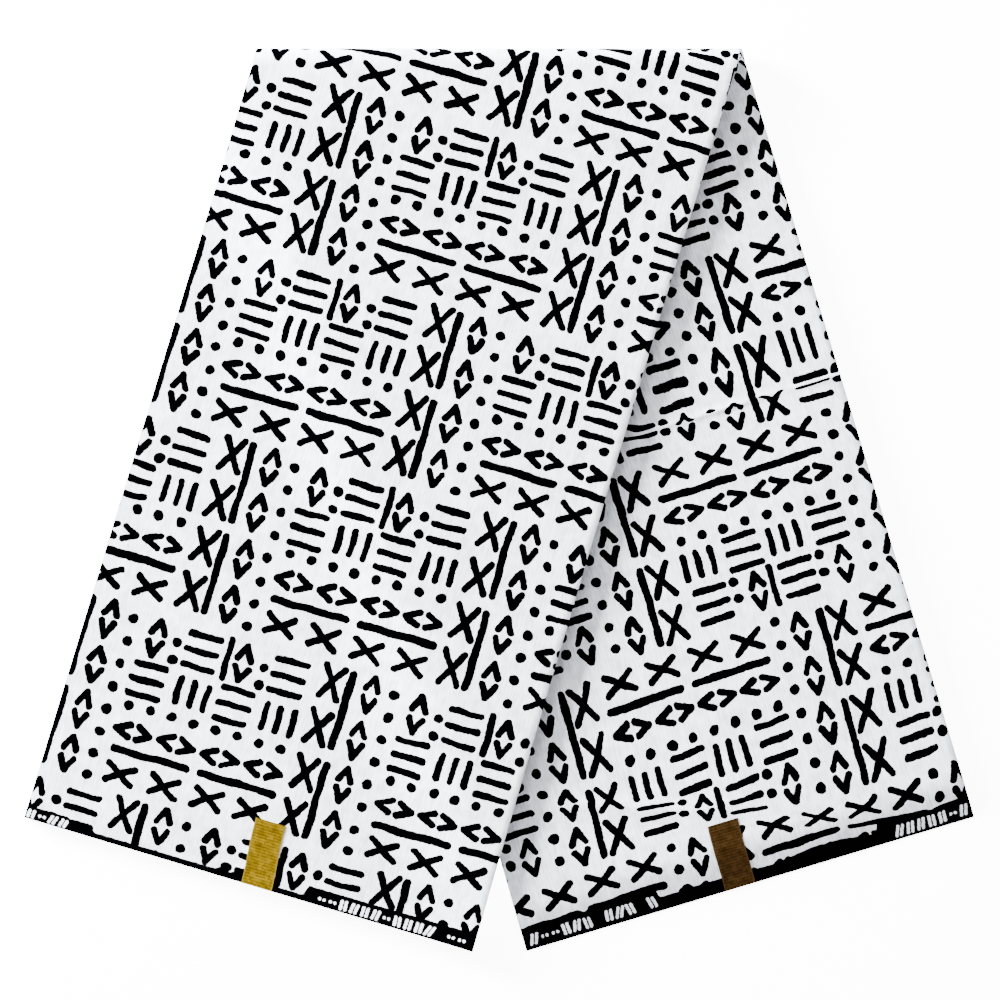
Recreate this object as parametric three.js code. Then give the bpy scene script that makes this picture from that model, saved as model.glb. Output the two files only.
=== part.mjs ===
// Wax print cotton: one cut of cloth, pleated back and forth into a long flat pack, and the pack
// folded over once across a slanted line, so that its front leg crosses its back leg in a V.
// It lies flat, face up. Millimetres: +X right and +Y up as seen from above, +Z off the surface.
import * as THREE from "three";

// Driving dimensions
const STRIP_WIDTH = 301; // across the pleated pack
const LONG_EDGE = 614; // the inner edge of each leg, from the top fold to the foot
const LEG_TILT = THREE.MathUtils.degToRad(16.9); // each leg's lean from the centre line
const LAYERS = 6; // back-and-forth layers of the section, an even number
const LAYER_THICK = 1.0;
const LAYER_GAP = 0.4; // air between two layers
const INNER_BEND = 2.6; // radius of the air inside the top fold, which springs open a little

// How the front leg comes down onto the back leg, and from it down to the surface
const LEG_GAP = 1.2; // air between the legs where the front one lies on the back one
const LEGS_CLOSE = 140; // the spring of the top fold is gone over this length
const SETTLE_START = 6; // past the back leg's hidden edge
const SETTLE_WIDTH = 60;
const BEND_HOLD = 60; // the top fold holds the leg up over this length

// The quarter fold that still shows as a low ridge across the back leg
const RIDGE = { up: 300, height: 1.6, halfWidth: 9, from: 158, full: 186 };

// The two ribbon tabs, each with its lower end flush with the foot of its leg
const TAB_THICK = 1.0;
const TAB_GAP = 0.35; // between a tab and the cloth under it
const TAB_INSET = 0.4; // the tab's end stays this far inside the foot
const TABS = [
  { name: "gold_tab", leg: "front", across: 147.5, width: 20.2, length: 43.5, lean: -3.2 },
  { name: "bronze_tab", leg: "back", across: 134.5, width: 20.4, length: 44.3, lean: 1.5 },
];

// Mesh fineness
const COLUMNS = 10; // across one layer
const FRONT_ROWS = 10;
const BEND_STEPS = 6;
const UPPER_BACK_ROWS = 4; // from the top fold to the ridge
const LOWER_BACK_ROWS = 4; // from the ridge to the foot's wedge
const LOOP_STEPS = 3; // around each side fold of the layers

// Sizes that follow from the driving dimensions
const PITCH = LAYER_THICK + LAYER_GAP;
const PACK_THICK = LAYERS * LAYER_THICK + (LAYERS - 1) * LAYER_GAP;
const SHORT_EDGE = LONG_EDGE - STRIP_WIDTH * Math.tan(LEG_TILT);
const FOLD_HALF = STRIP_WIDTH / 2 / Math.cos(LEG_TILT);
const BEND_REACH = INNER_BEND + PACK_THICK; // from the bend's axis to its outermost layer
const AXIS_Z = PACK_THICK + INNER_BEND;
const WEDGE_LENGTH = Math.PI * (LAYERS - 1) * PITCH; // the outer layers end this much sooner
const LOOP_INSET = (PITCH + LAYER_THICK) / 2;

const lerp = THREE.MathUtils.lerp;
const smooth = (value) => THREE.MathUtils.smoothstep(value, 0, 1);

// Where a line that runs along the pack, `across` from its left edge, meets the top fold.
const foldX = (across) => -FOLD_HALF + across / Math.cos(LEG_TILT);

// The legs: side is the way a leg leans, foot its length along the line at `across`.
const LEGS = {
  front: { side: -1, foot: (across) => SHORT_EDGE + across * Math.tan(LEG_TILT) },
  back: { side: 1, foot: (across) => LONG_EDGE - across * Math.tan(LEG_TILT) },
};

// Plan position of a point that lies `along` down a leg from the top fold.
function planPoint(leg, across, along) {
  return {
    x: foldX(across) + leg.side * along * Math.sin(LEG_TILT),
    y: -along * Math.cos(LEG_TILT),
  };
}

// Height of the front leg's underside: on the back leg, and sunk to the surface beside it.
function frontRest(x, y) {
  const down = -y - BEND_REACH;
  const apart = lerp(2 * INNER_BEND, LEG_GAP, smooth(down / LEGS_CLOSE));
  const beyond = -(x + FOLD_HALF) * Math.cos(LEG_TILT) - y * Math.sin(LEG_TILT);
  const sunk = smooth(down / BEND_HOLD) * smooth((beyond - SETTLE_START) / SETTLE_WIDTH);
  return (PACK_THICK + apart) * (1 - sunk);
}

// Height of the ridge on the back leg: a tent across the pack, which dies out in the lower layers.
function ridgeHeight(across, up, level) {
  const tent = Math.max(0, 1 - Math.abs(up - RIDGE.up) / RIDGE.halfWidth);
  const shown = smooth((across - RIDGE.from) / (RIDGE.full - RIDGE.from));
  return RIDGE.height * tent * shown * (1 - level / (LAYERS - 1));
}

// Each layer level ends sooner than the one inside it, as it has further to go round the bend.
const layerEnd = (level) => Math.PI * PITCH * level;

// Height of the middle of a layer on the back leg: near the foot the pack thins to one layer.
function backLayerHeight(across, up, level) {
  const stacked = (LAYERS - 1 - level) * PITCH;
  const thinned = (up - layerEnd(level)) / Math.PI;
  return Math.min(stacked, thinned) + LAYER_THICK / 2 + ridgeHeight(across, up, level);
}

// A point of the section is {across, level, off}: level counts the layers outwards from the bend's
// inside, and off is the distance outwards from the middle of that layer.
const depth = (point) => point.level * PITCH + LAYER_THICK / 2 + point.off;

function frontRow(share) {
  return (point) => {
    const top = BEND_REACH / Math.cos(LEG_TILT);
    const along = lerp(top, LEGS.front.foot(point.across), share);
    const { x, y } = planPoint(LEGS.front, point.across, along);
    return [x, y, frontRest(x, y) + depth(point)];
  };
}

function bendRow(share) {
  const angle = Math.PI * share;
  return (point) => {
    const radius = INNER_BEND + depth(point);
    const shift = BEND_REACH * Math.tan(LEG_TILT) * (2 * share - 1);
    return [
      foldX(point.across) + shift,
      -BEND_REACH + radius * Math.sin(angle),
      AXIS_Z + radius * Math.cos(angle),
    ];
  };
}

// A row on the back leg, given by its distance up from the foot.
function backRow(upAt) {
  return (point) => {
    const up = upAt(point);
    const along = LEGS.back.foot(point.across) - up;
    const { x, y } = planPoint(LEGS.back, point.across, along);
    return [x, y, backLayerHeight(point.across, up, point.level) - point.off];
  };
}

// All rows, from the foot of the front leg over the bend to the foot of the back leg.
function packRows() {
  const rows = [];
  for (let i = FRONT_ROWS; i > 0; i--) rows.push(frontRow(i / FRONT_ROWS));
  for (let i = 0; i <= BEND_STEPS; i++) rows.push(bendRow(i / BEND_STEPS));
  const ridgeTop = RIDGE.up + RIDGE.halfWidth;
  const bendEnd = (point) => LEGS.back.foot(point.across) - BEND_REACH / Math.cos(LEG_TILT);
  for (let i = 1; i <= UPPER_BACK_ROWS; i++)
    rows.push(backRow((point) => lerp(bendEnd(point), ridgeTop, i / UPPER_BACK_ROWS)));
  rows.push(backRow(() => RIDGE.up));
  const ridgeFoot = RIDGE.up - RIDGE.halfWidth;
  for (let i = 0; i <= LOWER_BACK_ROWS; i++)
    rows.push(backRow(() => lerp(ridgeFoot, WEDGE_LENGTH, i / LOWER_BACK_ROWS)));
  rows.push(backRow((point) => layerEnd(point.level)));
  return rows;
}

// One skin of the back-and-forth section, half a layer to the left (side 1) or right (side -1) of
// its middle. Layer 0 runs from the left edge to the right, and each side fold turns it back.
function sectionSkin(side) {
  const skin = [];
  for (let layer = 0; layer < LAYERS; layer++) {
    const rightward = layer % 2 === 0;
    const skinSide = rightward ? side : -side;
    const off = (skinSide * LAYER_THICK) / 2;
    const first = layer === 0 ? 0 : LOOP_INSET;
    const last = layer === LAYERS - 1 ? 0 : LOOP_INSET;
    const left = rightward ? first : last;
    const right = STRIP_WIDTH - (rightward ? last : first);
    for (let i = 0; i <= COLUMNS; i++) {
      const share = rightward ? i / COLUMNS : 1 - i / COLUMNS;
      skin.push({ across: lerp(left, right, share), level: layer, off });
    }
    if (layer === LAYERS - 1) break;
    const loopRadius = PITCH / 2 - off;
    for (let i = 1; i < LOOP_STEPS; i++) {
      const turn = (Math.PI * i) / LOOP_STEPS;
      const out = loopRadius * Math.sin(turn);
      skin.push({
        across: rightward ? right + out : left - out,
        level: layer + (1 - Math.cos(turn)) / 2,
        off: off * Math.cos(turn),
      });
    }
  }
  return skin;
}

// Closed surface over rows of points. Every quad is split along the same way over the pack, from
// the upper left of a leg to its lower right, so that no two layers' facets can meet.
function clothGeometry() {
  const skins = [sectionSkin(1), sectionSkin(-1)];
  const width = skins[0].length;
  const rows = packRows();
  const positions = [];
  for (const row of rows)
    for (const skin of skins) for (const point of skin) positions.push(...row(point));
  const at = (row, skin, i) => (row * skins.length + skin) * width + i;
  const faces = [];
  const quad = (a, b, c, d, splitAC) => {
    if (splitAC) faces.push(a, b, c, a, c, d);
    else faces.push(b, c, d, b, d, a);
  };
  for (let row = 0; row + 1 < rows.length; row++) {
    for (let i = 0; i + 1 < width; i++) {
      const rightward = skins[0][i + 1].across > skins[0][i].across;
      quad(at(row, 0, i), at(row, 0, i + 1), at(row + 1, 0, i + 1), at(row + 1, 0, i), !rightward);
      quad(at(row, 1, i + 1), at(row, 1, i), at(row + 1, 1, i), at(row + 1, 1, i + 1), rightward);
    }
    quad(at(row, 1, 0), at(row, 0, 0), at(row + 1, 0, 0), at(row + 1, 1, 0), true);
    const end = width - 1;
    quad(at(row, 0, end), at(row, 1, end), at(row + 1, 1, end), at(row + 1, 0, end), true);
  }
  const last = rows.length - 1;
  for (let i = 0; i + 1 < width; i++) {
    quad(at(0, 0, i), at(0, 1, i), at(0, 1, i + 1), at(0, 0, i + 1), true);
    quad(at(last, 0, i), at(last, 0, i + 1), at(last, 1, i + 1), at(last, 1, i), true);
  }
  const geometry = new THREE.BufferGeometry();
  geometry.setAttribute("position", new THREE.Float32BufferAttribute(positions, 3));
  geometry.setIndex(faces);
  return geometry;
}

// Height of the cloth's upper face at a place on a leg.
function clothTop(legName, across, up) {
  if (legName === "back") return backLayerHeight(across, up, 0) + LAYER_THICK / 2;
  const { x, y } = planPoint(LEGS.front, across, LEGS.front.foot(across) - up);
  return frontRest(x, y) + PACK_THICK;
}

// A ribbon tab: a thin strip that follows the cloth under it up from the foot.
function tabGeometry(tab) {
  const leg = LEGS[tab.leg];
  const lean = Math.tan(THREE.MathUtils.degToRad(tab.lean));
  const heights = [TAB_INSET, WEDGE_LENGTH, tab.length];
  const positions = [];
  for (const up of heights)
    for (const lift of [TAB_GAP, TAB_GAP + TAB_THICK])
      for (const side of [0, tab.width]) {
        const across = tab.across + side + up * lean;
        const { x, y } = planPoint(leg, across, leg.foot(across) - up);
        positions.push(x, y, clothTop(tab.leg, across, up) + lift);
      }
  const ring = [0, 1, 3, 2]; // lower left, lower right, upper right, upper left
  const faces = [];
  for (let row = 0; row + 1 < heights.length; row++)
    for (let i = 0; i < ring.length; i++) {
      const a = row * ring.length + ring[i];
      const b = row * ring.length + ring[(i + 1) % ring.length];
      faces.push(a, b + ring.length, b, a, a + ring.length, b + ring.length);
    }
  const top = (heights.length - 1) * ring.length;
  faces.push(0, 3, 2, 0, 1, 3);
  faces.push(top, top + 3, top + 1, top, top + 2, top + 3);
  const geometry = new THREE.BufferGeometry();
  geometry.setAttribute("position", new THREE.Float32BufferAttribute(positions, 3));
  geometry.setIndex(faces);
  return geometry;
}

const CLOTH_COLOUR = new THREE.MeshStandardMaterial({ color: 0xe6e6ec, roughness: 0.9, metalness: 0 });
const TAB_COLOURS = {
  gold_tab: new THREE.MeshStandardMaterial({ color: 0xb8922e, roughness: 0.45, metalness: 0.6 }),
  bronze_tab: new THREE.MeshStandardMaterial({ color: 0x6b4420, roughness: 0.5, metalness: 0.5 }),
};

function namedMesh(name, geometry, material) {
  geometry.computeVertexNormals();
  const mesh = new THREE.Mesh(geometry, material);
  mesh.name = name;
  return mesh;
}

const fabric = new THREE.Group();
fabric.name = "folded_wax_print_fabric";
fabric.add(namedMesh("wax_print_cloth", clothGeometry(), CLOTH_COLOUR));
for (const tab of TABS) fabric.add(namedMesh(tab.name, tabGeometry(tab), TAB_COLOURS[tab.name]));

// The origin is on the surface, under the middle of the whole piece.
const extent = new THREE.Box3().setFromObject(fabric);
const middle = extent.getCenter(new THREE.Vector3());
fabric.position.set(-middle.x, -middle.y, -extent.min.z);

export default fabric;
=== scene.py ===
"""Wax print cotton, pleated into a long pack of thin layers and folded over into a V.

The cloth is one surface, worked out in the pack's own coordinates: across (from the left edge),
up (from a foot) and level (which layer). Blender units are metres.
"""

import math

import bpy
import numpy as np
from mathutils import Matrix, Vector


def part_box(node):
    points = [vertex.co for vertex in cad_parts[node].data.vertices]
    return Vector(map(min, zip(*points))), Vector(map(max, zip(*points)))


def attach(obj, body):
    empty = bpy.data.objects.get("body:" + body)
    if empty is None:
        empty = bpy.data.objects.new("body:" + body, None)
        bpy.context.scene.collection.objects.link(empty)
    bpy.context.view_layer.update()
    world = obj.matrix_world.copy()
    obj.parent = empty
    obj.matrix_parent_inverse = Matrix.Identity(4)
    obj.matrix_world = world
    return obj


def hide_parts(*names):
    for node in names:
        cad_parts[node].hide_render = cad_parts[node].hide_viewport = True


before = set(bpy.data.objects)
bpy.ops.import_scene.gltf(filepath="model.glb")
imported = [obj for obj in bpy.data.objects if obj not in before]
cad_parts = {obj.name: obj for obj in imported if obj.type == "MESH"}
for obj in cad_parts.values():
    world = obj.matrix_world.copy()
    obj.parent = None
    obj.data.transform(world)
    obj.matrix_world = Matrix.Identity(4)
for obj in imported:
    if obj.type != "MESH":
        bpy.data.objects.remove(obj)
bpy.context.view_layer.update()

MM = 0.001

# The pack and its fold, as in the CAD model
STRIP_WIDTH = 301 * MM
LONG_EDGE = 614 * MM
LEG_TILT = math.radians(16.9)
PACK_THICK = 8 * MM
INNER_BEND = 2.6 * MM
LEG_GAP = 1.2 * MM
LEGS_CLOSE = 140 * MM
SETTLE_START = 6 * MM
SETTLE_WIDTH = 60 * MM
BEND_HOLD = 60 * MM
FAN = 3.5 * MM

# The real cloth in the pack: 5.486 m cut from goods 1.137 m wide, in 18 layers
CLOTH_CUT = (1.137, 5.486)
LAYERS = 18
CLOTH_THICK = 0.3 * MM
PITCH = (PACK_THICK - CLOTH_THICK) / (LAYERS - 1)

SLOPE = math.tan(LEG_TILT)
SHORT_EDGE = LONG_EDGE - STRIP_WIDTH * SLOPE
FOLD_HALF = STRIP_WIDTH / 2 / math.cos(LEG_TILT)
BEND_REACH = INNER_BEND + PACK_THICK
BEND_TOP = BEND_REACH / math.cos(LEG_TILT)
AXIS_Z = PACK_THICK + INNER_BEND
WEDGE = math.pi * (LAYERS - 1) * PITCH
FOLD_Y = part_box("wax_print_cloth")[1][1]

# The quarter fold that shows across the back leg, and the slanting pucker near its foot. Each has
# drawn in some of the print: how much above it and below it, over which reach, and its own width
RIDGE = {"up": 301.8 * MM, "height": 1.3 * MM, "spread": 2.2 * MM, "from": 148 * MM, "full": 170 * MM,
         "waves": (17 * MM, 41 * MM)}
RIDGE_TUCK = 4.4 * MM, (8.7 * MM, 44 * MM), (-2.1 * MM, 25 * MM)
PUCKER = {"up": 54.3 * MM, "across": 136 * MM, "slope": -0.36, "lowest": 44 * MM, "height": 1.0 * MM,
          "spread": 6 * MM, "from": 24 * MM, "full": 74 * MM, "fade": 8 * MM}
PUCKER_TUCK = 21 * MM, (7.6 * MM, 95 * MM), (1.0 * MM, 300 * MM)

# How unevenly it is folded, in millimetres: how far the hidden folds are drawn in, and how much
# shorter the hidden layers end, each drawn at random for a layer
FOLDS_DRAWN_IN, FOLD_SEED = (0.1, 1.1), 11
ENDS_SHORTER, END_SEED = (0.1, 1.3), 5
# How far the outermost layer of each leg stands off the others at most, the seed, wavelengths and
# number of ripples of each wavelength, and the lengths over which it calms down at the bend and the foot
STAND_OFF = 0.5 * MM
FRONT_RIPPLES = 3, (0.034, 0.052, 0.081), 3
BACK_RIPPLES = 8, (0.031, 0.049, 0.077), 3
BEND_CALM, FOOT_CALM = 60 * MM, 30 * MM

# Fineness of the mesh, and how many millimetres its rows lie from the lines of the ridge and the pucker
ROWS_BY_LINE = (10, 6, 3.6, 2.2, 1.1, 0, -1.1, -2.2, -3.6, -6, -10)
FINE_COLUMNS = 70
COARSE_COLUMNS = 10
FINE_CROWDING, COARSE_CROWDING = 2.0, 20.0
CROWD_MARGIN = 6 * MM
FRONT_ROWS = 54
BEND_STEPS = 12
UPPER_BACK_ROWS = 22
LOWER_BACK_ROWS = 22
WEDGE_ROWS = 6

TOP, INNER = 1, 2  # the cloth's two faces that show, on the front leg and on the back leg
BAKE_BANDS = np.array([(0.002, 0.41), (0.414, 0.41), (0.826, 0.075), (0.903, 0.075), (0.98, 0.015)])

# The print, in metres here and in millimetres in its table
PRINT_TOP = (-61.2 * MM, 516 * MM)
PRINT_INNER = (259 * MM, -38 * MM)
DRIFT_LENGTH = 0.6
TOP_DRIFT_REACH, INNER_DRIFT_REACH = 0.6, 0.44
TOP_DRIFT = ((0.3, -1.5, -0.2, -0.2), (1.0, -1.6)), ((2.3, 3.6, -12.8, -2.8, 9.6), (0.8, -0.7))
INNER_DRIFT = ((-5.5, -3.4, -4.6, 3.6), (1.1, -0.7)), ((6.9, 1.5, -2.4, -2.9), (1.7, -1.6))
FOOT_SHIFT = 1.6 * MM, 45 * MM, 20 * MM  # by the back foot: how far across, from what height, over how much
BACK_SELVAGE = 1.0  # added to tell the back leg's selvage from the front leg's
ROW_STEP, ROW_SHIFT, REPEAT = 119.85, 103.4, 174.6
BLOCK_START, HALF_BLOCK, LEFT_REACH = 47.0, 57.9, 11.8
STROKE, LINE, DOT, LONE = 2.4, 2.75, 3.5, 999.0
CARET = ((0.0, 11.2), (4.3, 2.8))
ARROW = ((11.4, 0.0), (2.8, 4.2))
SPOT = ((0.0, 0.0), (0.0, 0.0))
# Each mark: the x it is measured in, its zone in that x (from, or from and to), the lowest y of its
# zone in a block, the first place and half the repeat in x and in y, the line's ends and radius
MARKS = (
    ("column", (-99.0,), None, (0.0, LONE), (12.6, 15.0), (0.0, 0.0), (6.2, 10.1), STROKE),
    ("column", (8.5,), None, (11.7, LONE), (28.0, 30.0), (0.0, 0.0), (0.0, 24.2), LINE),
    ("column", (15.0,), None, (26.0, LONE), (13.5, 15.0), *CARET, STROKE),
    ("column", (35.0,), None, (40.9, LONE), (9.0, 7.5), *SPOT, DOT),
    ("half", (-1.0,), -1.0, (11.6, LONE), (17.0, LONE), *CARET, STROKE),
    ("half", (20.0,), -1.0, (25.4, LONE), (21.5, LONE), (0.0, 5.9), (0.0, 5.9), DOT),
    ("half", (29.5,), -1.0, (42.0, LONE), (7.35, 5.1), (0.0, 0.0), (9.7, 0.0), STROKE),
    ("block", (55.9, 62.4), -1.0, (59.0, LONE), (17.0, LONE), (0.0, 0.0), (0.0, 12.25), STROKE),
    ("half", (-1.0,), 32.1, (13.6, LONE), (34.7, 5.0), (0.0, 0.0), (9.7, 0.0), STROKE),
    ("half", (29.5,), 32.1, (34.6, 4.55), (45.0, LONE), (0.0, 0.0), (0.0, 7.5), STROKE),
    ("block", (0.0,), 58.3, (6.9, 7.2375), (62.5, LONE), *SPOT, DOT),
    ("block", (0.0,), 67.5, (14.4, 14.475), (78.7, LONE), *ARROW, STROKE),
    ("block", (0.0,), 86.5, (29.9, 28.95), (92.2, LONE), (0.0, 0.0), (24.1, 0.0), LINE),
    ("block", (0.0,), 97.0, (14.3, 14.475), (107.4, LONE), (0.0, 0.0), (8.6, 5.7), STROKE),
)
# Height of the selvage's black band against the distance across the leg
FRONT_BAND = ((0, 8.3), (28, 8.6), (29, 5.1), (45, 5.4), (47, 3.6), (128, 4), (133, 6.8), (138, 4.3),
              (144, 6.8), (149, 4), (188, 4), (190, 10.8), (230, 11), (301, 11.8))
BACK_BAND = ((0, 14.6), (37, 16), (40.5, 14), (44, 16.3), (84, 17), (88.5, 16.7), (89.5, 9.2), (103, 9),
             (107, 12.5), (110, 12.5), (113, 9.4), (118, 9.4), (120.5, 11.4), (123, 9.4), (150, 9.2),
             (166, 8.3), (180, 10), (195, 11.8), (212, 11.6), (237, 8), (238, 14), (255, 12.8),
             (270, 13.6), (276, 13), (282, 14.4), (301, 15.4))
BAND_CEILING = 20.0  # the height at the top of the curves that hold these
# The plain marks: their cells' pitch, where they stand along the front and back feet, how far each bar
# or dot is from the cell's middle, its radius, its longest half length, its slant, and the share of the
# cells that stay bare and of those up to which they hold dots
MARK_STEP = 7.3
MARK_SPANS = ((0, 26), (195, 299)), ((-1, 84), (246, 300))
MARK_APART, MARK_RADIUS, MARK_REACH, MARK_SLANT = 1.5, (0.85, 1.15), 2.8, 1.1
BARE_CELLS, DOT_CELLS = 0.12, 0.28
BACK_CELLS = 50.0  # added to a cell's number on the back leg, so that its draw is another
THREAD = 0.36
# Noise in the print, as scale per millimetre and amount in millimetres: a slow bend of the strokes, the
# ragged edges, the change from bold to thin, and the selvage band's wander and its marks' rough edges
BENT, RAGGED, BOLD = (0.062, 2.4), (0.42, 1.0), (0.05, 0.6)
BAND_WANDER, MARK_ROUGH = (0.3, 0.9), (0.7, 0.8)
WHITE_LOW, WHITE_HIGH = (0.55, 0.565, 0.615, 1), (0.93, 0.95, 1.0, 1)
INK_LOW, INK_HIGH = (0.0001, 0.0001, 0.0002, 1), (0.0003, 0.0003, 0.0005, 1)

# Dull and bright thread and the paler edges of the two ribbons, and the length of their faint bars
GOLD_TONES = (0.2, 0.115, 0.003, 1), (0.72, 0.46, 0.014, 1), (0.7, 0.5, 0.08, 1)
BRONZE_TONES = (0.04, 0.018, 0.003, 1), (0.14, 0.072, 0.022, 1), (0.15, 0.08, 0.03, 1)
BAR_STEP, RIB_STEP, RIBBON_THREAD = 1.9, 0.55, 0.7

# The tabs: left edge across the leg at the foot, width, length and lean
TAB_WIDTH = 20.3 * MM
GOLD_TAB = (145.7 * MM, TAB_WIDTH, 43.5 * MM, math.radians(-3.2))
BRONZE_TAB = (132.9 * MM, TAB_WIDTH, 44.3 * MM, math.radians(1.5))
TAB_LIFT = 0.2 * MM
TAB_THICK = 0.3 * MM

# The floor, a hair below the cloth
FLOOR_HALF, FLOOR_Z, FLOOR_GLOW = 8.0, -0.0004, 10

# The camera: the photograph shows this width, from straight above
CAMERA_HEIGHT = 6.0
VIEW_WIDTH = 0.6514
VIEW_CENTRE = (0.00026, 0.00013)


def smooth(value):
    """0 to 1 with level ends: 3v^2 - 2v^3, held at 0 below 0 and at 1 above 1."""
    v = np.clip(value, 0, 1)
    return v * v * (3 - 2 * v)


def bell(value):
    """A bump of height 1 and unit spread: exp(-v^2)."""
    return np.exp(-value * value)


def ripples(across, along, seed, wavelengths, turns):
    """Soft unevenness between 0 and 1: the mean of sine waves in seeded directions and phases."""
    draw = np.random.default_rng(seed)
    total = 0
    for wavelength in wavelengths:
        for _ in range(turns):
            angle, phase = draw.uniform(0, math.pi), draw.uniform(0, 2 * math.pi)
            path = across * math.cos(angle) + along * math.sin(angle)
            total = total + np.sin(2 * math.pi * path / wavelength + phase)
    return 0.5 + 0.5 * total / (len(wavelengths) * turns)


# The pack's shape

def fanned(side, across, along):
    """Across value of a point at a distance l down a leg of length L, once its layers have fanned
    out a little: by FAN (l / L)^3 at the V's inner edge, and less towards the outer edge."""
    inner = across / STRIP_WIDTH if side < 0 else 1 - across / STRIP_WIDTH
    return across - side * FAN * (along / LONG_EDGE) ** 3 * inner


def plan(side, across, along):
    """Plan place of a point, along down a leg from the top fold: a line that leans by side."""
    across = fanned(side, across, along)
    x = -FOLD_HALF + across / math.cos(LEG_TILT) + side * along * math.sin(LEG_TILT)
    return x, FOLD_Y - along * math.cos(LEG_TILT)


def front_foot(across):
    return SHORT_EDGE + across * SLOPE


def back_foot(across):
    return LONG_EDGE - across * SLOPE


def depth(level, off):
    """Distance outwards from the pack's inner face: the layers' middles lie one pitch apart."""
    return level * PITCH + CLOTH_THICK / 2 + off


def front_rest(x, y):
    """Height of the front leg's underside.

    It starts at the open bend, comes down onto the back leg over LEGS_CLOSE, and past the back
    leg's hidden edge it sinks over SETTLE_WIDTH to the surface, as smooth steps of both.
    """
    down = FOLD_Y - y - BEND_REACH
    apart = 2 * INNER_BEND + (LEG_GAP - 2 * INNER_BEND) * smooth(down / LEGS_CLOSE)
    beyond = (FOLD_Y - y) * math.sin(LEG_TILT) - (x + FOLD_HALF) * math.cos(LEG_TILT)
    sunk = smooth(down / BEND_HOLD) * smooth((beyond - SETTLE_START) / SETTLE_WIDTH)
    return (PACK_THICK + apart) * (1 - sunk)


def ridge_shown(across):
    """0 where the front leg hides the ridge, 1 from where it shows in full."""
    return smooth((across - RIDGE["from"]) / (RIDGE["full"] - RIDGE["from"]))


def pucker_line(across):
    """Distance up from the back foot of the pucker's line."""
    return PUCKER["up"] + PUCKER["slope"] * (across - PUCKER["across"])


def pucker_shown(across):
    """0 by the V's inner edge, 1 from where the pucker has its full size."""
    return smooth((across - PUCKER["from"]) / (PUCKER["full"] - PUCKER["from"]))


def front_puckers(across, along):
    """How far the top layer of the front leg stands off the others, smoothed out at the bend."""
    return STAND_OFF * ripples(across, along, *FRONT_RIPPLES) * smooth((along - BEND_TOP) / BEND_CALM)


def back_puckers(across, up):
    """The same on the back leg, and smoothed out at the foot."""
    calm = smooth(up / FOOT_CALM) * smooth((back_foot(across) - BEND_TOP - up) / BEND_CALM)
    return STAND_OFF * ripples(across, up, *BACK_RIPPLES) * calm


def back_height(across, up, level):
    """Height of a layer's middle on the back leg.

    The layers under it stack up, but near the foot the outer layers have ended, so the pack thins
    with a slope of 1 in pi, blended softly into its full height. Only the layer on top rises in
    the ridge and the pucker.
    """
    upper = 1 - level / (LAYERS - 1)
    full, thin = (LAYERS - 1) * PITCH, up / math.pi
    blend = 2.4 * MM * upper + 1e-6
    share = np.clip(0.5 + 0.5 * (full - thin) / blend, 0, 1)
    stacked = full + (thin - full) * share - blend * share * (1 - share)
    ridge = RIDGE["height"] * bell((up - RIDGE["up"]) / RIDGE["spread"]) * ridge_shown(across)
    first_wave, second_wave = RIDGE["waves"]
    ridge = ridge * (0.65 + 0.35 * np.cos(across / first_wave) * np.cos(across / second_wave))
    pucker = PUCKER["height"] * bell((up - pucker_line(across)) / PUCKER["spread"])
    pucker = pucker * pucker_shown(across)
    pucker = pucker * smooth((pucker_line(across) - PUCKER["lowest"]) / PUCKER["fade"])
    return stacked - level * PITCH + CLOTH_THICK / 2 + (ridge + pucker) * np.clip(1 - level, 0, 1)


def section():
    """Points round the back-and-forth section, as arrays across, level, off and face, and how many
    of them lie on the first skin.

    A skin runs along the layers and turns back at each side fold on a half circle. One skin goes
    out and the other comes back, so that they close on the two raw edges. Face is TOP or INNER on
    the faces that show and on the folds beside them, or 0.
    """
    draw = np.random.default_rng(FOLD_SEED)
    inset = draw.uniform(*FOLDS_DRAWN_IN, LAYERS) * MM
    inset[[0, LAYERS - 2]] = 0  # the folds beside the faces that show are the pack's own edges
    loop = (PITCH + CLOTH_THICK) / 2
    turn = np.pi * np.array([1, 2]) / 3
    skins = []
    for side in (1, -1):
        parts = []
        for layer in range(LAYERS):
            rightward = layer % 2 == 0
            off = CLOTH_THICK / 2 * (side if rightward else -side)
            face = INNER if (layer == 0 and off < 0) else TOP if (layer == LAYERS - 1 and off > 0) else 0
            before = 0 if layer == 0 else loop + inset[layer - 1]
            after = 0 if layer == LAYERS - 1 else loop + inset[layer]
            ends = (before, STRIP_WIDTH - after) if rightward else (STRIP_WIDTH - before, after)
            fine = layer in (0, LAYERS - 1)
            across = np.linspace(*ends, (FINE_COLUMNS if fine else COARSE_COLUMNS) + 1)
            parts.append((across, layer + 0 * across, off + 0 * across, face + 0 * across))
            if layer < LAYERS - 1:
                out = (PITCH / 2 - off) * np.sin(turn) * (1 if rightward else -1)
                beside = INNER if face == INNER else TOP if (side == -1 and layer == LAYERS - 2) else 0
                risen, turned = (1 - np.cos(turn)) / 2, off * np.cos(turn)
                parts.append((ends[1] + out, layer + risen, turned, beside + 0 * turn))
        skins.append([np.concatenate(values) for values in zip(*parts)])
    out, back = skins
    return [np.concatenate([a, b[::-1]]) for a, b in zip(out, back)], len(out[0])


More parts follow.
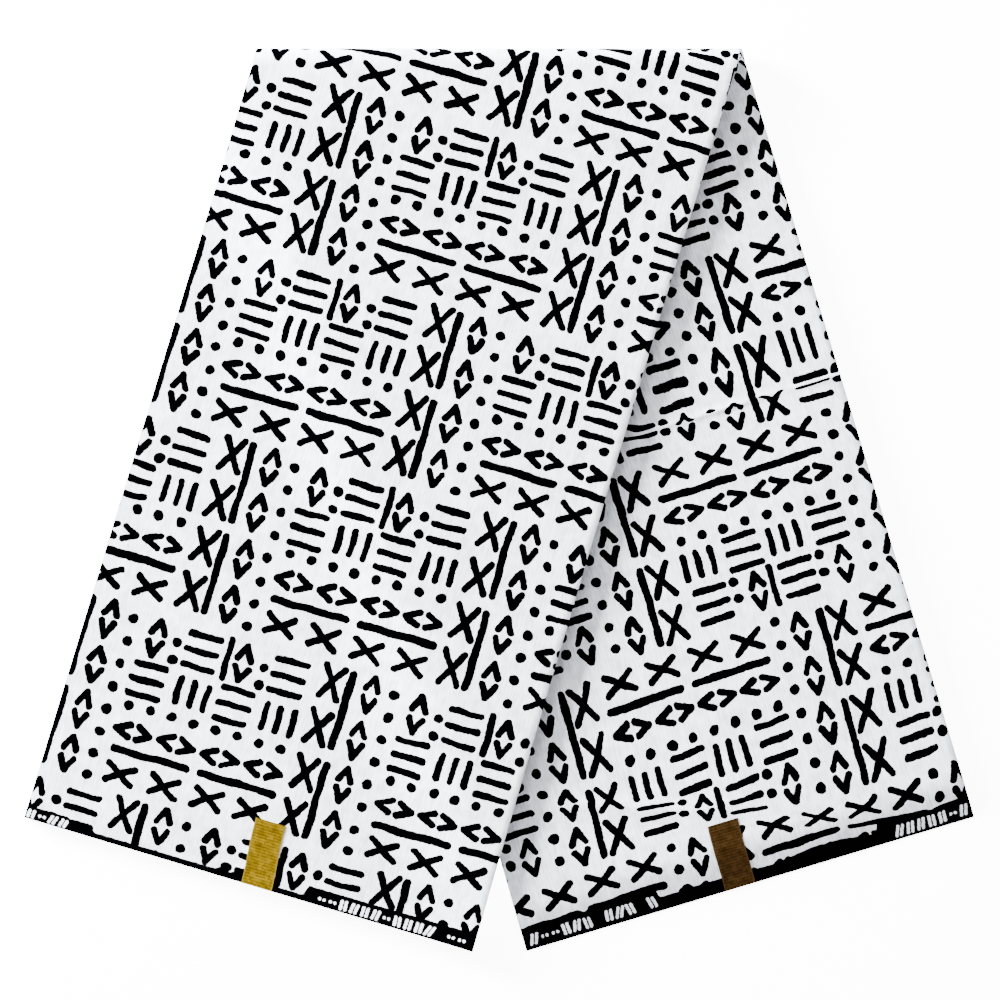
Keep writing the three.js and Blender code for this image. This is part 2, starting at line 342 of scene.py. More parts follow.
def pack_rows(across, level, off):
    """Places of all the section's points on each row, from the front foot over the bend to the
    back foot: arrays (rows, points) of x, y, z, across, across once fanned out, the cloth's length
    from the front foot and from the back foot, and the number of rows before the back leg."""
    draw = np.random.default_rng(END_SEED)
    short = draw.uniform(*ENDS_SHORTER, LAYERS) * MM
    short[[0, -1]] = 0
    short = np.interp(level, np.arange(LAYERS), short)

    share = np.linspace(1, 0, FRONT_ROWS + 1)[:-1, None]
    fine = (level < 1) | (level > LAYERS - 2)
    everywhere = across
    across = crowded(across, share, np.where(fine, FINE_CROWDING, COARSE_CROWDING))
    foot = front_foot(across) - short
    along = BEND_TOP + (foot - BEND_TOP) * share
    x, y = plan(-1, across, along)
    lift = front_puckers(across, along) * np.clip(level - (LAYERS - 2), 0, 1)
    front = [x, y, front_rest(x, y) + depth(level, off) + lift, foot - along]
    crowded_across, across = across, everywhere
    fanned_front = fanned(-1, crowded_across, along)
    front_length = front_foot(across) - short - BEND_TOP

    angle = np.linspace(0, np.pi, BEND_STEPS + 1)[:, None]
    radius = INNER_BEND + depth(level, off)
    x = -FOLD_HALF + across / math.cos(LEG_TILT) + BEND_REACH * SLOPE * (2 * angle / np.pi - 1)
    y = FOLD_Y - BEND_REACH + radius * np.sin(angle)
    bend = [x, y, AXIS_Z + radius * np.cos(angle), front_length + radius * angle]

    top = back_foot(across) - BEND_TOP
    end = np.pi * PITCH * level
    near = MM * np.array(ROWS_BY_LINE)[:, None]
    ridge = RIDGE["up"] + near + 0 * across
    pucker = np.maximum(pucker_line(across), PUCKER["lowest"]) + near
    edge = WEDGE * 1.25 + 0 * across
    up = np.concatenate([
        between(top, ridge[0], UPPER_BACK_ROWS), ridge,
        between(ridge[-1], pucker[0], LOWER_BACK_ROWS), pucker,
        between(pucker[-1], edge, 3), edge[None],
        between(edge, end, WEDGE_ROWS), end[None],
    ])
    x, y = plan(1, across, back_foot(across) - up)
    z = back_height(across, up, level) - off + back_puckers(across, up) * np.clip(1 - level, 0, 1)
    back = [x, y, z, front_length + np.pi * radius + top - up]

    fanned_back = fanned(1, across, back_foot(across) - up)
    bent = np.broadcast_to(across, bend[0].shape)

    total = front_length + np.pi * radius + top - end
    x, y, z, from_front = [np.concatenate(values) for values in zip(front, bend, back)]
    seen = np.concatenate([fanned_front, bent, fanned_back])
    across = np.concatenate([crowded_across, np.broadcast_to(across, x[FRONT_ROWS:].shape)])
    total = np.concatenate([front_foot(crowded_across) + back_foot(crowded_across) - 2 * BEND_TOP - short
                            + np.pi * radius - end, np.broadcast_to(total, x[FRONT_ROWS:].shape)])
    return x, y, z, across, seen, from_front, total - from_front, FRONT_ROWS + BEND_STEPS + 1


def crowded(across, share, strength):
    """Across values for each row of the front leg, moved towards where it sinks off the back leg.

    Where the points of a row are spread by a density 1 + s exp(-((a - c) / w)^2), each of them
    lies where that density's running total has its own share of the whole. The sinking zone's
    middle c moves across the leg from row to row. Points by the edges stay.
    """
    margin = CROWD_MARGIN
    lean = math.sin(2 * LEG_TILT)
    grid = np.linspace(margin, STRIP_WIDTH - margin, 400)
    inside = (across > margin) & (across < STRIP_WIDTH - margin)
    rows = []
    for part in share[:, 0]:
        middle = lean * (BEND_TOP + (SHORT_EDGE - BEND_TOP) * part) - SETTLE_START - SETTLE_WIDTH / 2
        middle = middle / (1 - lean * SLOPE * part)
        spread = bell((grid - middle) / (SETTLE_WIDTH / 2))
        row = across.copy()
        for each in np.unique(strength):
            total = np.cumsum(1 + each * spread)
            total = (total - total[0]) / (total[-1] - total[0])
            moved = np.interp((across - margin) / (STRIP_WIDTH - 2 * margin), total, grid)
            row = np.where(inside & (strength == each), moved, row)
        rows.append(row)
    return np.array(rows)


def between(first, last, steps):
    """Rows that go evenly from one row to another, without either."""
    return first + (last - first) * np.linspace(0, 1, steps + 1)[1:-1, None]


def around(values, shape):
    """Values at the four corners of each quad of a tube: rows by points, the points in a ring."""
    here = np.broadcast_to(values, shape)
    return np.stack([here[:-1], np.roll(here[:-1], -1, 1), np.roll(here[1:], -1, 1), here[1:]], -1)


def around_ring(share, shape):
    """The same for a share of the way round, which reaches 1 where the ring closes."""
    corners = around(share, shape).copy()
    corners[:, -1, 1:3] = 1
    return corners


def drift(across, up, reach, sideways, along):
    """How far the print has shifted across and along a leg, as cloth stretches while it is printed.

    With s from -1 to 1 across and t from -1 at the foot to 1 at a distance up, each shift is a
    polynomial in t plus c s + d s t.
    """
    s = across / STRIP_WIDTH * 2 - 1
    t = np.clip(up, 0, reach) / DRIFT_LENGTH * 2 - 1
    return [MM * (np.polynomial.polynomial.polyval(t, powers) + s * (tilt + twist * t))
            for powers, (tilt, twist) in (sideways, along)]


def tuck(above, width, upper, lower):
    """How far a tuck has moved the print towards its line: a step over its width between two
    amounts, and each of them fades out as a smooth step over its reach."""
    share = smooth(above / width + 0.5)
    over = upper[0] * smooth(1 - np.maximum(above, 0) / upper[1])
    under = lower[0] * smooth(1 + np.minimum(above, 0) / lower[1])
    return share * over - (1 - share) * under


def print_chart(across, from_front, from_back, layer):
    """Place in the chart of the print, for a point on a layer.

    On the outermost layer the chart lies upright, and the layers below carry on from it round
    their side folds. The innermost layer shows on the back leg, where the chart comes out turned
    by half a turn. There the ridge and the pucker have drawn in some of the print.
    """
    behind = LAYERS - 1 - layer
    unfolded = np.where(behind % 2 == 0, behind * STRIP_WIDTH + across, (behind + 1) * STRIP_WIDTH - across)
    aside, ahead = drift(across, from_front, TOP_DRIFT_REACH, *TOP_DRIFT)
    top = unfolded + PRINT_TOP[0] - aside, PRINT_TOP[1] - from_front + ahead
    aside, ahead = drift(across, from_back, INNER_DRIFT_REACH, *INNER_DRIFT)
    aside = aside + FOOT_SHIFT[0] * smooth((FOOT_SHIFT[1] - from_back) / FOOT_SHIFT[2])
    up = from_back - ahead
    up = up + ridge_shown(across) * tuck(from_back - RIDGE["up"], *RIDGE_TUCK)
    up = up + pucker_shown(across) * tuck(from_back - pucker_line(across), *PUCKER_TUCK)
    inner = PRINT_INNER[0] - across + aside, PRINT_INNER[1] + up
    return [np.where(layer == 0, a, b) for a, b in zip(inner, top)]


def bake_chart(face, on_back, across, from_front, from_back, ring):
    """Place in the bake map, in four upright bands and a fifth.

    The two faces that show get most of its width and the undersides the next two bands. The fifth
    holds all that is hidden, as the way round the section against the length.
    """
    down = np.where(on_back, from_back, from_front) / (LONG_EDGE + 10 * MM)
    share = (across + 1 * MM) / (STRIP_WIDTH + 2 * MM)
    band = np.where(face == 0, 4, np.where(face == TOP, np.where(on_back, 3, 0), np.where(on_back, 1, 2)))
    start, width = BAKE_BANDS[band, 0], BAKE_BANDS[band, 1]
    cut = from_front / (CLOTH_CUT[0] + 0.1)
    return start + width * np.where(face == 0, cut, share), 0.002 + 0.996 * np.where(face == 0, ring, down)


def make_cloth(printed):
    """The whole folded cloth as one closed tube of quads, with its print, selvage and bake maps."""
    (across, level, off, face), outward = section()
    x, y, z, across, seen, from_front, from_back, back_start = pack_rows(across, level, off)
    shape = x.shape
    caps = end_faces(level, outward)
    mesh = tube("folded_cloth", x, y, z, caps)

    # A quad belongs to a face that shows if either of its points does
    quad_face = np.maximum(face, np.roll(face, -1)).astype(int)
    layer = np.clip(np.floor(around(level, shape).mean(-1) + 0.499), 0, LAYERS - 1)[..., None]
    shown = quad_face[None, :, None]
    layer = np.where(shown == TOP, LAYERS - 1, np.where(shown == INNER, 0, layer))
    on_back = (np.arange(shape[0] - 1) >= back_start)[:, None, None]
    front, back = around(from_front, shape), around(from_back, shape)
    sideways, outspread = around(across, shape), around(seen, shape)
    chart = print_chart(outspread, front, back, layer)
    near_front = front < back
    selvage = (outspread + np.where(near_front, 0, BACK_SELVAGE), np.where(near_front, front, back))

    ends = across[-1]
    steps = np.hypot(np.diff(ends, append=ends[0]), PITCH * np.diff(level, append=level[0]))
    steps = steps + np.abs(np.diff(off, append=off[0]))
    ring = around_ring(np.concatenate([[0], np.cumsum(steps)[:-1]]) / steps.sum(), shape)
    # In the bake map a fold goes on past its face's edge, and the points beyond it turn back a little
    past = 0.9 * MM * np.abs(around(level, shape) - layer) - 0.3 * MM * (around(face, shape) == 0)
    bake = bake_chart(shown, on_back, sideways + past, front, back, ring)

    cap_sides = cap_places(caps, ends)
    for name, quads, cap in zip(("Print", "Selvage", "OFBake"), (chart, selvage, bake), cap_sides):
        quads = np.stack([np.broadcast_to(q, (shape[0] - 1, shape[1], 4)) for q in quads], -1).reshape(-1, 2)
        mesh.uv_layers.new(name=name).data.foreach_set("uv", np.concatenate([quads, cap]).ravel())

    mesh.materials.append(printed)
    finish_mesh(mesh, 50)
    return place("folded_cloth", mesh)


def cap_places(caps, across):
    """The three maps' places of the faces that close the tube at both feet."""
    points = np.concatenate([np.concatenate([cap[::-1] for cap in caps]), np.concatenate(caps)])
    at_front = np.arange(len(points)) < len(points) // 2
    slot = np.concatenate([np.full(len(cap), i) for i, cap in enumerate(caps)])
    slot = np.concatenate([slot, slot + len(caps)])
    side = (points >= len(across) // 2).astype(float)
    chart = np.stack([across[points], np.where(at_front, -0.2, 0.2)], -1)
    selvage = np.stack([across[points] + np.where(at_front, 0, BACK_SELVAGE), 0 * side], -1)
    v = (slot + across[points] / STRIP_WIDTH * 0.9 + 0.05) / (2 * len(caps))
    return chart, selvage, np.stack([0.9965 + 0.003 * side, 0.002 + 0.996 * v], -1)


def end_faces(level, outward):
    """One face for the cut end of each layer and each part of a side fold, between the skins."""
    points = len(level)
    first_skin, second_skin = level[:outward], level[outward:][::-1]
    faces = []
    for layer in range(LAYERS):
        first = np.flatnonzero(first_skin == layer)
        second = points - 1 - np.flatnonzero(second_skin == layer)
        faces.append(np.concatenate([first, second[::-1]]))
        if layer < LAYERS - 1:
            a, b = first[-1], second[-1]
            faces += [np.array([a + i, a + i + 1, b - i - 1, b - i]) for i in range(3)]
    return faces


def tube(name, x, y, z, caps):
    """A closed mesh from rows of points in a ring, with the caps' faces at both ends."""
    rows, points = x.shape
    at = np.arange(rows * points).reshape(rows, points)
    quads = around(at, at.shape).reshape(-1, 4).tolist()
    ends = [cap[::-1].tolist() for cap in caps] + [(cap + at[-1, 0]).tolist() for cap in caps]
    mesh = bpy.data.meshes.new(name)
    mesh.from_pydata(np.stack([x, y, z], -1).reshape(-1, 3).tolist(), [], quads + ends)
    return mesh


def finish_mesh(mesh, sharp):
    mesh.polygons.foreach_set("use_smooth", np.ones(len(mesh.polygons), bool))
    mesh.set_sharp_from_angle(angle=math.radians(sharp))
    mesh.update()


def place(name, mesh):
    piece = bpy.data.objects.new(name, mesh)
    bpy.context.scene.collection.objects.link(piece)
    return piece


def make_tab(name, on_back, across, width, length, lean, material):
    """A blank ribbon tab, closed all round, that follows the cloth up from the selvage.

    Its two long edges are a little thicker, as a woven ribbon's are, and it lies a little uneven.
    """
    s = np.linspace(0, 1, 15)
    t = np.linspace(0, 1, 33)[:, None]
    foot = back_foot if on_back else front_foot
    sway = 0.35 * MM * np.sin(5 * t + 1)
    sideways = across + s * width + math.tan(lean) * length * t + sway
    up = length * t + 0 * s
    along = foot(sideways) - up
    x, y = plan(1 if on_back else -1, sideways, along)
    if on_back:
        skin = back_height(sideways, up, 0) + CLOTH_THICK / 2 + back_puckers(sideways, up)
    else:
        skin = front_rest(x, y) + PACK_THICK + front_puckers(sideways, along)
    under = skin + TAB_LIFT * (0.8 + 0.2 * np.cos(9 * t + 4 * s))
    thick = TAB_THICK * (1 + 0.35 * bell((np.minimum(s, 1 - s) - 0.035) / 0.02))
    over = under + thick + 0.06 * MM * np.sin(14 * t + 1) * np.sin(math.pi * s)
    ring = [np.concatenate([a, b[:, ::-1]], 1) for a, b in ((x, x), (y, y), (under, over))]
    count = len(s)
    cap = np.arange(2 * count)
    mesh = tube(name, *ring, [cap])
    shape = ring[0].shape
    share = np.concatenate([s, s[::-1]])
    flat = (around(share * width, shape), around(np.broadcast_to(length * t, shape), shape))
    side = np.concatenate([0.48 * s, 1 - 0.48 * s[::-1]])
    bake = (around_ring(side, shape), 0.02 + 0.96 * around(np.broadcast_to(t, shape), shape))
    below = 0.005 + 0.01 * (cap >= count)
    ends = np.stack([share * width, 0 * share], -1), np.stack([0.48 * share, below], -1)
    for title, quads, end in zip(("Ribbon", "OFBake"), (flat, bake), ends):
        quads = np.stack(quads, -1).reshape(-1, 2)
        top_end = end + (0, length) if title == "Ribbon" else end + (0, 0.98)
        places = np.concatenate([quads, end[::-1], top_end])
        mesh.uv_layers.new(name=title).data.foreach_set("uv", places.ravel())
    mesh.materials.append(material)
    finish_mesh(mesh, 50)
    return place(name, mesh)


# Materials

class Nodes:
    """Adds nodes to a tree, each after the ones that feed it."""

    def __init__(self, tree):
        self.tree = tree

    def add(self, kind, *values, **settings):
        node = self.tree.nodes.new("ShaderNode" + kind)
        for name, value in settings.items():
            setattr(node, name, value)
        for place_in, value in enumerate(values):
            self.feed(node.inputs[place_in], value)
        return node

    def feed(self, socket, value):
        if isinstance(value, bpy.types.NodeSocket):
            self.tree.links.new(value, socket)
        elif value is not None:
            socket.default_value = value

    def math(self, operation, *values):
        return self.add("Math", *values, operation=operation).outputs[0]

    def vector(self, operation, *values):
        node = self.add("VectorMath", *values, operation=operation)
        return node.outputs[1 if operation in ("DOT_PRODUCT", "LENGTH") else 0]

    def scale(self, vector, factor):
        return self.add("VectorMath", vector, None, None, factor, operation="SCALE").outputs[0]

    def combine(self, x, y, z=0.0):
        return self.add("CombineXYZ", x, y, z).outputs[0]

    def split(self, vector):
        return self.add("SeparateXYZ", vector).outputs

    def mix(self, factor, a, b, kind="FLOAT"):
        first, out = {"FLOAT": (2, 0), "VECTOR": (4, 1), "RGBA": (6, 2)}[kind]
        return self.add("Mix", factor, *[None] * (first - 1), a, b, data_type=kind).outputs[out]

    def ramp(self, value, low, high, to_low=0.0, to_high=1.0, kind="SMOOTHSTEP"):
        return self.add("MapRange", value, low, high, to_low, to_high, interpolation_type=kind).outputs[0]

    def noise(self, vector, scale, detail=2.0, roughness=0.5, dimensions="2D"):
        return self.add("TexNoise", vector, None, scale, detail, roughness, noise_dimensions=dimensions)

    def curve(self, value, points):
        """A Float Curve with straight runs through the points, (x, y) in 0 to 1."""
        node = self.add("FloatCurve", 1.0, value)
        line = node.mapping.curves[0]
        for x, y in points[1:-1]:
            line.points.new(x, y)
        line.points[0].location, line.points[-1].location = points[0], points[-1]
        for point in line.points:
            point.handle_type = "VECTOR"
        node.mapping.update()
        return node.outputs[0]


def group(name, inputs, outputs):
    """A new node group, its Nodes, its input sockets and its output node."""
    tree = bpy.data.node_groups.new(name, "ShaderNodeTree")
    for title, kind in inputs:
        tree.interface.new_socket(name=title, in_out="INPUT", socket_type="NodeSocket" + kind)
    for title, kind in outputs:
        tree.interface.new_socket(name=title, in_out="OUTPUT", socket_type="NodeSocket" + kind)
    return tree, Nodes(tree), tree.nodes.new("NodeGroupInput").outputs


def group_out(tree, nodes, *values):
    end = tree.nodes.new("NodeGroupOutput")
    for place_in, value in enumerate(values):
        nodes.feed(end.inputs[place_in], value)
    return tree


def print_group():
    """The black ink of the pattern, 0 to 1, from a place in the chart in metres.

    The chart repeats every ROW_STEP upwards, shifted by ROW_SHIFT in every other row. In a repeat,
    each kind of mark has its own zone. Its coordinates are folded into the corner of one mark, and
    the mark is all within a radius of the line from A to B: the distance from a point P is
    |P - A - (B - A) t|, with t = (P - A).(B - A) / |B - A|^2 held between 0 and 1.
    """
    tree, n, given = group("Stroke print", [("Chart", "Vector")], [("Ink", "Float")])
    chart = n.scale(given[0], 1000.0)
    drift = n.vector("SUBTRACT", n.noise(chart, BENT[0], 1.0).outputs[1], (0.5, 0.5, 0.5))
    chart = n.vector("ADD", chart, n.scale(drift, BENT[1]))
    x, y, _ = n.split(chart)
    row = n.math("FLOOR", n.math("DIVIDE", y, ROW_STEP))
    y = n.math("SUBTRACT", y, n.math("MULTIPLY", row, ROW_STEP))
    shift = n.math("MULTIPLY", n.math("FLOORED_MODULO", row, 2.0), ROW_SHIFT)
    x = n.math("ADD", n.math("SUBTRACT", x, shift), LEFT_REACH)
    x = n.math("SUBTRACT", n.math("FLOORED_MODULO", x, REPEAT), LEFT_REACH)
    block = n.math("SUBTRACT", x, BLOCK_START)
    half = n.math("FLOORED_MODULO", block, HALF_BLOCK)
    block_y = n.math("SUBTRACT", y, n.math("MULTIPLY", n.math("LESS_THAN", block, 0.0), 1000.0))
    frames = {"column": x, "block": block, "half": half}

    point, run, pace = (0.0, 0.0, 0.0), (0.0, 0.0, 0.0), (0.0, 0.0, 0.0)
    for frame_x, zone, low_y, fold_x, fold_y, a, b, radius in MARKS:
        along = n.math("PINGPONG", n.math("SUBTRACT", frames[frame_x], fold_x[0]), fold_x[1])
        upward = n.math("PINGPONG", n.math("SUBTRACT", y, fold_y[0]), fold_y[1])
        here = n.vector("SUBTRACT", n.combine(along, upward), (*a, 0.0))
        dx, dy = b[0] - a[0], b[1] - a[1]
        square = max(dx * dx + dy * dy, 1e-9)
        if len(zone) == 2:
            inside = n.math("COMPARE", frames[frame_x], sum(zone) / 2, (zone[1] - zone[0]) / 2)
        else:
            inside = n.math("GREATER_THAN", frames[frame_x], zone[0])
        if low_y is not None:
            inside = n.math("MULTIPLY", inside, n.math("GREATER_THAN", block_y, low_y))
        point = n.mix(inside, point, here, "VECTOR")
        run = n.mix(inside, run, (dx, dy, 0.0), "VECTOR")
        pace = n.mix(inside, pace, (dx / square, dy / square, radius), "VECTOR")
    t = n.add("Math", n.vector("DOT_PRODUCT", point, pace), 0.0, operation="ADD", use_clamp=True).outputs[0]
    gap = n.vector("LENGTH", n.vector("SUBTRACT", point, n.scale(run, t)))
    gap = n.math("SUBTRACT", gap, n.split(pace)[2])
    beside = n.ramp(gap, 0.28, 0.45, RAGGED[1], 0.0)
    rough = n.math("MULTIPLY", n.math("SUBTRACT", n.noise(chart, RAGGED[0], 2.0).outputs[0], 0.5), beside)
    bold = n.math("MULTIPLY", n.math("SUBTRACT", n.noise(chart, BOLD[0], 0.0).outputs[0], 0.5), BOLD[1])
    gap = n.math("SUBTRACT", n.math("ADD", gap, rough), bold)
    return group_out(tree, n, n.ramp(gap, -0.16, 0.16, 1.0, 0.0))


def selvage_group():
    """The black band along a selvage and the plain white marks in its wide blocks, each 0 to 1.

    It reads the distance across the leg and the distance from the foot, in metres. The band's
    height follows one curve on each leg. A mark is two slanted bars or two dots in their own cell.
    """
    tree, n, given = group("Selvage print", [("Place", "Vector")], [("Band", "Float"), ("Marks", "Float")])
    across, up, _ = n.split(n.scale(given[0], 1000.0))
    on_back = n.math("GREATER_THAN", across, 500.0)
    across = n.math("SUBTRACT", across, n.math("MULTIPLY", on_back, BACK_SELVAGE / MM))
    share = n.math("DIVIDE", across, STRIP_WIDTH / MM)
    heights = [n.curve(share, [(a * MM / STRIP_WIDTH, h / BAND_CEILING) for a, h in points])
               for points in (FRONT_BAND, BACK_BAND)]
    height = n.math("MULTIPLY", n.mix(on_back, *heights), BAND_CEILING)
    at = n.combine(across, up)
    scale, amount = BAND_WANDER
    wander = n.math("MULTIPLY", n.math("SUBTRACT", n.noise(at, scale, 2.0).outputs[0], 0.5), amount)
    top = n.math("ADD", height, wander)
    band = n.ramp(n.math("SUBTRACT", up, top), -0.16, 0.16, 1.0, 0.0)

    cell = n.math("FLOOR", n.math("DIVIDE", across, MARK_STEP))
    middle = n.math("MULTIPLY_ADD", cell, MARK_STEP, MARK_STEP / 2)
    seed = n.math("ADD", cell, n.math("MULTIPLY", on_back, BACK_CELLS))
    draw = n.add("TexWhiteNoise", None, seed, noise_dimensions="1D")
    slant = n.math("MULTIPLY", n.math("SUBTRACT", draw.outputs[0], 0.5), MARK_SLANT)
    wide = n.math("SUBTRACT", across, middle)
    tall = n.math("SUBTRACT", up, n.math("MULTIPLY", height, 0.43))
    reach = n.math("MINIMUM", n.math("MULTIPLY", height, 0.22), MARK_REACH)
    reach = n.math("MULTIPLY", reach, n.math("GREATER_THAN", draw.outputs[0], DOT_CELLS))
    held = n.math("MAXIMUM", n.math("MINIMUM", tall, reach), n.math("MULTIPLY", reach, -1.0))
    lean = n.math("SUBTRACT", wide, n.math("MULTIPLY", held, slant))
    lean = n.math("SUBTRACT", n.math("ABSOLUTE", lean), MARK_APART)
    gap = n.vector("LENGTH", n.combine(lean, n.math("SUBTRACT", tall, held)))
    scale, amount = MARK_ROUGH
    rough = n.math("MULTIPLY", n.math("SUBTRACT", n.noise(at, scale, 1.0).outputs[0], 0.5), amount)
    marks = n.ramp(n.math("ADD", gap, rough), *MARK_RADIUS, 1.0, 0.0)
    inside = [n.math("ADD", *[n.math("COMPARE", middle, (a + b) / 2, (b - a) / 2) for a, b in spans])
              for spans in MARK_SPANS]
    filled = n.math("GREATER_THAN", draw.outputs[0], BARE_CELLS)
    broad = n.math("MULTIPLY", n.mix(on_back, *inside), filled)
    return group_out(tree, n, band, n.math("MULTIPLY", marks, broad))


def weave_group():
    """A plain weave's height, 0 to 1, and the cloth's faint cloudiness, -1 to 1.

    The height over threads of width p is 0.5 + 0.5 sin(pi x / p) sin(pi y / p), at a place that
    noise shifts a little, so the threads run unevenly.
    """
    tree, n, given = group("Plain weave", [("Place", "Vector")], [("Height", "Float"), ("Cloud", "Float")])
    at = n.scale(given[0], 1000.0)
    drift = n.vector("SUBTRACT", n.noise(at, 0.35, 1.0).outputs[1], (0.5, 0.5, 0.5))
    x, y, _ = n.split(n.vector("ADD", at, n.scale(drift, 0.35)))
    waves = [n.math("SINE", n.math("MULTIPLY", v, math.pi / THREAD)) for v in (x, y)]
    height = n.math("MULTIPLY_ADD", n.math("MULTIPLY", *waves), 0.5, 0.5)
    slub = n.noise(n.vector("MULTIPLY", at, (1.0, 0.09, 1.0)), 0.9, 1.0).outputs[0]
    cloud = n.mix(0.45, n.noise(at, 0.16, 3.0).outputs[0], n.noise(at, 0.04, 2.0).outputs[0])
    cloud = n.mix(0.4, cloud, slub)
    return group_out(tree, n, height, n.math("MULTIPLY", n.math("SUBTRACT", cloud, 0.5), 4.0))


def use(nodes, tree, vector):
    node = nodes.add("Group")
    node.node_tree = tree
    nodes.feed(node.inputs[0], vector)
    return node.outputs


def new_material(name):
    """A material with its shader already joined to its output, the shader's Nodes and itself."""
    material = bpy.data.materials.new(name)
    material.use_nodes = True
    shader = next(n for n in material.node_tree.nodes if n.type == "BSDF_PRINCIPLED")
    return material, Nodes(material.node_tree), shader


def cloth_material(name, weave, ink, selvage):
    """Smooth white cotton in plain weave, printed black: bare of gloss, so the ink stays dark."""
    material, n, shader = new_material(name)
    place_in = n.add("UVMap", uv_map="Print").outputs[0]
    black = use(n, ink, place_in)[0]
    band, marks = use(n, selvage, n.add("UVMap", uv_map="Selvage").outputs[0])
    black = n.math("MAXIMUM", n.math("SUBTRACT", n.math("MAXIMUM", black, band), marks), 0.0)
    height, cloud = use(n, weave, place_in)
    white = n.mix(n.math("MULTIPLY_ADD", cloud, 0.8, 0.5), WHITE_LOW, WHITE_HIGH, "RGBA")
    dark = n.mix(n.math("MULTIPLY_ADD", cloud, 0.25, 0.5), INK_LOW, INK_HIGH, "RGBA")
    n.feed(shader.inputs["Base Color"], n.mix(black, white, dark, "RGBA"))
    n.feed(shader.inputs["Roughness"], n.math("MULTIPLY_ADD", black, -0.08, 0.72))
    n.feed(shader.inputs["Normal"], n.add("Bump", 0.35, 0.05 * MM, None, height).outputs[0])
    shader.inputs["Specular IOR Level"].default_value = 0.0
    return material


def ribbon_material(name, low, high, pale):
    """A woven ribbon with metallic thread: fine ribs and faint bars across it, specks of bright and
    dull thread, and paler woven edges. It reads the place across and along it in metres."""
    material, n, shader = new_material(name)
    across, along, _ = n.split(n.scale(n.add("UVMap", uv_map="Ribbon").outputs[0], 1000.0))
    at = n.combine(across, along)
    speck = n.noise(n.vector("MULTIPLY", at, (0.7, 2.6, 1.0)), 1.0, 2.0, 0.65).outputs[0]
    patch = n.noise(at, 0.25, 2.0).outputs[0]
    ribs = n.math("SINE", n.math("MULTIPLY", along, 2 * math.pi / RIB_STEP))
    threads = n.math("SINE", n.math("MULTIPLY", across, 2 * math.pi / RIBBON_THREAD))
    height = n.math("MULTIPLY_ADD", n.math("MULTIPLY", ribs, threads), 0.3, speck)
    bars = n.math("SINE", n.math("MULTIPLY", along, 2 * math.pi / BAR_STEP))
    tone = n.ramp(n.math("MULTIPLY_ADD", bars, 0.05, n.mix(0.35, speck, patch)), 0.36, 0.66)
    colour = n.mix(tone, low, high, "RGBA")
    middle = TAB_WIDTH / 2 / MM
    edge = n.math("SUBTRACT", middle, n.math("ABSOLUTE", n.math("SUBTRACT", across, middle)))
    edge = n.ramp(n.math("ADD", edge, n.math("MULTIPLY", speck, 0.8)), 0.7, 1.7, 0.55, 0.0)
    n.feed(shader.inputs["Base Color"], n.mix(edge, colour, pale, "RGBA"))
    n.feed(shader.inputs["Roughness"], n.ramp(speck, 0.3, 0.7, 0.38, 0.26))
    n.feed(shader.inputs["Normal"], n.add("Bump", 0.5, 0.12 * MM, None, height).outputs[0])
    shader.inputs["Metallic"].default_value = 1.0
    return material


def floor_material():
    """A pale, even floor with the faintest unevenness."""
    material, n, shader = new_material("Pale floor")
    patch = n.noise(n.add("TexCoord").outputs["Object"], 3.0, 2.0, 0.5, "3D").outputs[0]
    n.feed(shader.inputs["Base Color"], n.mix(patch, (0.93, 0.93, 0.93, 1), (0.96, 0.96, 0.96, 1), "RGBA"))
    shader.inputs["Roughness"].default_value = 0.9
    shader.inputs["Specular IOR Level"].default_value = 0.1
    shader.inputs["Emission Color"].default_value = (1, 1, 1, 1)
    shader.inputs["Emission Strength"].default_value = FLOOR_GLOW
    return material


# Staging

def look_at(thing, place_at, target):
    """Turns a light or camera at a place towards a target."""
    thing.location = place_at
    thing.rotation_euler = (Vector(target) - Vector(place_at)).to_track_quat("-Z", "Y").to_euler()


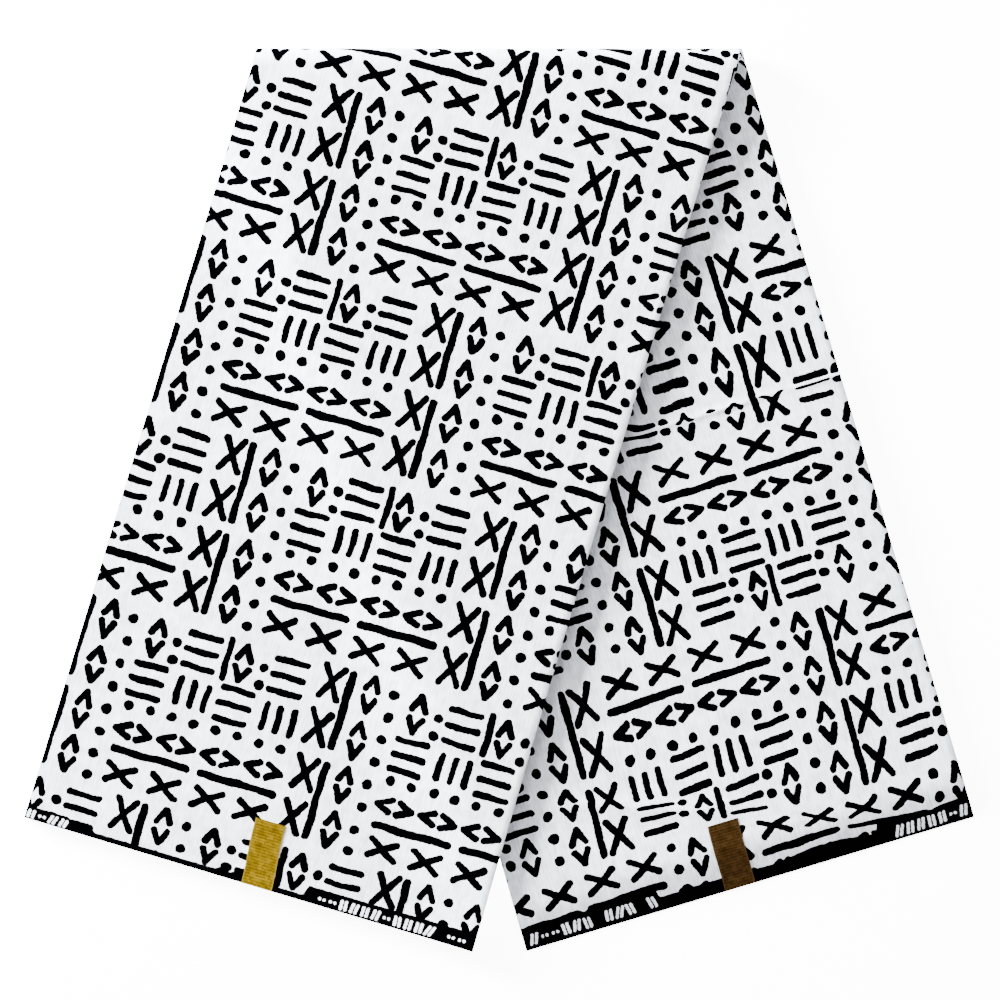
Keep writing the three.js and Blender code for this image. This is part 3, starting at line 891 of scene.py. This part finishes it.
def add_light(name, place_at, target, size, power):
    lamp = bpy.data.lights.new(name, "AREA")
    lamp.shape = "SQUARE"
    lamp.size = size
    lamp.energy = power
    lamp.color = (0.95, 0.965, 1.0)
    light = place(name, lamp)
    look_at(light, place_at, target)


def add_floor():
    mesh = bpy.data.meshes.new("floor")
    corners = [(x * FLOOR_HALF, y * FLOOR_HALF, 0) for x, y in ((-1, -1), (1, -1), (1, 1), (-1, 1))]
    mesh.from_pydata(corners, [], [(0, 1, 2, 3)])
    mesh.materials.append(floor_material())
    floor = place("floor", mesh)
    floor.location.z = FLOOR_Z


def add_camera():
    """Straight above, as the photograph is, with the view's width on the object."""
    data = bpy.data.cameras.new("camera")
    data.sensor_width = 36
    data.lens = 36 * CAMERA_HEIGHT / VIEW_WIDTH
    camera = place("camera", data)
    camera.location = (*VIEW_CENTRE, CAMERA_HEIGHT)
    bpy.context.scene.camera = camera


def add_world():
    world = bpy.data.worlds.new("soft surround")
    world.use_nodes = True
    sky = world.node_tree.nodes["Background"]
    sky.inputs["Color"].default_value = (1, 1, 1, 1)
    sky.inputs["Strength"].default_value = 0.5
    bpy.context.scene.world = world


add_camera()
add_world()
add_floor()
add_light("low light from the left", (-2.153, 1.243, 0.76), (0, 0, 0), 0.92, 1170)
add_light("broad light from above the fold", (-0.9, 1.2, 1.5), (0, 0, 0), 1.5, 65)
add_light("faint light from the right", (2.4, -0.3, 2.6), (0, 0, 0), 2.0, 30)

printed = cloth_material("Printed cotton", weave_group(), print_group(), selvage_group())
gold = ribbon_material("Gold ribbon", *GOLD_TONES)
bronze = ribbon_material("Bronze ribbon", *BRONZE_TONES)

cloth = make_cloth(printed)
gold_tab = make_tab("gold_ribbon_tab", False, *GOLD_TAB, gold)
bronze_tab = make_tab("bronze_ribbon_tab", True, *BRONZE_TAB, bronze)

for piece, node, slot in (
    (cloth, "wax_print_cloth", "cloth"),
    (gold_tab, "gold_tab", "gold_ribbon"),
    (bronze_tab, "bronze_tab", "bronze_ribbon"),
):
    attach(piece, "root")
    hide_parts(node)
